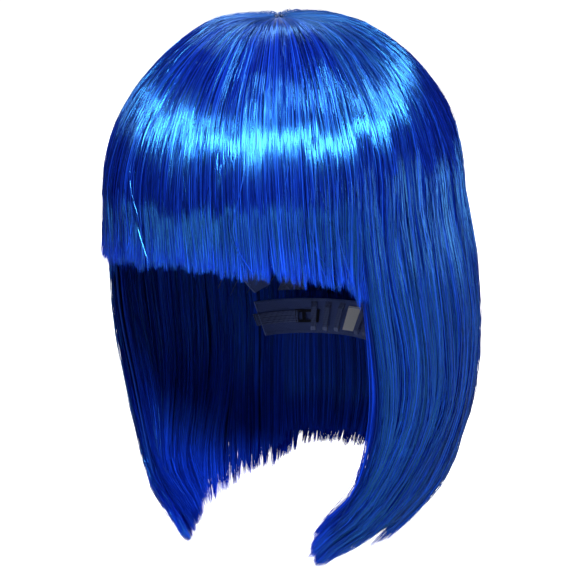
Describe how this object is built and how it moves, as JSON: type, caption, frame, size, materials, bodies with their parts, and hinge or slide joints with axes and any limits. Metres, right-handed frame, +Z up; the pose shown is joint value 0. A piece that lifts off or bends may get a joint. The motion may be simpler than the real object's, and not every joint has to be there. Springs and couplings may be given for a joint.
{
  "type": "costume wig",
  "caption": "Short bob wig with a full fringe, hair hanging to the chin in front and curling in at the hem, on a stretch cap with an adjustable nape.",
  "frame": {"origin": "centre of the wearer's head at the hat line, the widest level of the cap's head opening", "axes": "+Z up to the crown, the face looks along -Y, +X towards the wearer's left"},
  "size_m": [0.2, 0.2387, 0.297],
  "materials": {
    "hair": "glossy synthetic fibre",
    "inner_hair": "glossy synthetic fibre, shaded",
    "net": "open stretch net",
    "satin": "satin weave",
    "elastic": "ribbed elastic",
    "skin": "thin matte skin",
    "lining": "soft fine net",
    "tape": "machine-sewn weft",
    "plastic": "moulded",
    "label": "blank woven satin"
  },
  "bodies": {
    "cap": {"back_weft_tape_1": "tape", "back_weft_tape_2": "tape", "back_weft_tape_3": "tape", "back_weft_tape_4": "tape", "back_weft_tape_5": "tape", "back_weft_tape_6": "tape", "back_weft_tape_7": "tape", "back_weft_tape_8": "tape", "care_label": "label", "centre_rib": "elastic", "cross_rib": "elastic", "crown_hair": "hair", "crown_net": "net", "crown_skin_patch": "skin", "crown_teased_underlayer": "inner_hair", "front_band": "satin", "front_weft_tape": "tape", "left_hook_loops": "elastic", "left_lock_weft_tape": "tape", "left_rib": "elastic", "left_side_band": "satin", "left_side_hair": "hair", "left_side_underlayer": "inner_hair", "left_strap": "elastic", "nape_band": "satin", "nape_hair": "inner_hair", "patch_lining": "lining", "right_hook_loops": "elastic", "right_lock_weft_tape": "tape", "right_rib": "elastic", "right_side_band": "satin", "right_side_hair": "hair", "right_side_underlayer": "inner_hair", "right_strap": "elastic"},
    "fringe": {"fringe_hair": "hair", "fringe_underlayer": "inner_hair"},
    "left_lock": {"left_lock_hair": "hair", "left_lock_underlayer": "inner_hair"},
    "right_lock": {"right_lock_hair": "hair", "right_lock_underlayer": "inner_hair"},
    "back": {"back_hair": "hair", "back_underlayer": "inner_hair"},
    "left_tab": {"left_ear_tab": "satin", "left_ear_tab_stay": "plastic"},
    "right_tab": {"right_ear_tab": "satin", "right_ear_tab_stay": "plastic"},
    "left_slider": {"left_hook": "plastic"},
    "right_slider": {"right_hook": "plastic"}
  },
  "joints": [
    {"name": "fringe_lift", "type": "hinge", "parent": "cap", "child": "fringe", "pos_m": [0, -0.112, 0.035], "axis": [-1, 0, 0], "range_deg": [0, 30], "stiffness_Nm_per_rad": 0.01, "springref_deg": -20.05},
    {"name": "left_lock_swing", "type": "hinge", "parent": "cap", "child": "left_lock", "pos_m": [0.0945, 0, 0.012], "axis": [0, -1, 0], "range_deg": [0, 25], "stiffness_Nm_per_rad": 0.01, "springref_deg": -20.05},
    {"name": "right_lock_swing", "type": "hinge", "parent": "cap", "child": "right_lock", "pos_m": [-0.0945, 0, 0.012], "axis": [0, 1, 0], "range_deg": [0, 25], "stiffness_Nm_per_rad": 0.01, "springref_deg": -20.05},
    {"name": "back_hair_lift", "type": "hinge", "parent": "cap", "child": "back", "pos_m": [0, 0.1125, 0.012], "axis": [1, 0, 0], "range_deg": [0, 20], "stiffness_Nm_per_rad": 0.01, "springref_deg": -20.05},
    {"name": "left_tab_bend", "type": "hinge", "parent": "cap", "child": "left_tab", "pos_m": [0.0738, -0.0339, -0.0004], "axis": [0.287, 0.9579, 0], "range_deg": [0, 20], "stiffness_Nm_per_rad": 0.0002},
    {"name": "right_tab_bend", "type": "hinge", "parent": "cap", "child": "right_tab", "pos_m": [-0.0738, -0.0339, -0.0004], "axis": [0.287, -0.9579, 0], "range_deg": [0, 20], "stiffness_Nm_per_rad": 0.0002},
    {"name": "left_hook_slide", "type": "hinge", "parent": "cap", "child": "left_slider", "pos_m": [0, 0.0212, -0.07], "axis": [0, 0, 1], "range_deg": [0, 17], "deforming": ["left_strap"]},
    {"name": "right_hook_slide", "type": "hinge", "parent": "cap", "child": "right_slider", "pos_m": [0, 0.0212, -0.07], "axis": [0, 0, -1], "range_deg": [0, 17], "deforming": ["right_strap"]}
  ]
}
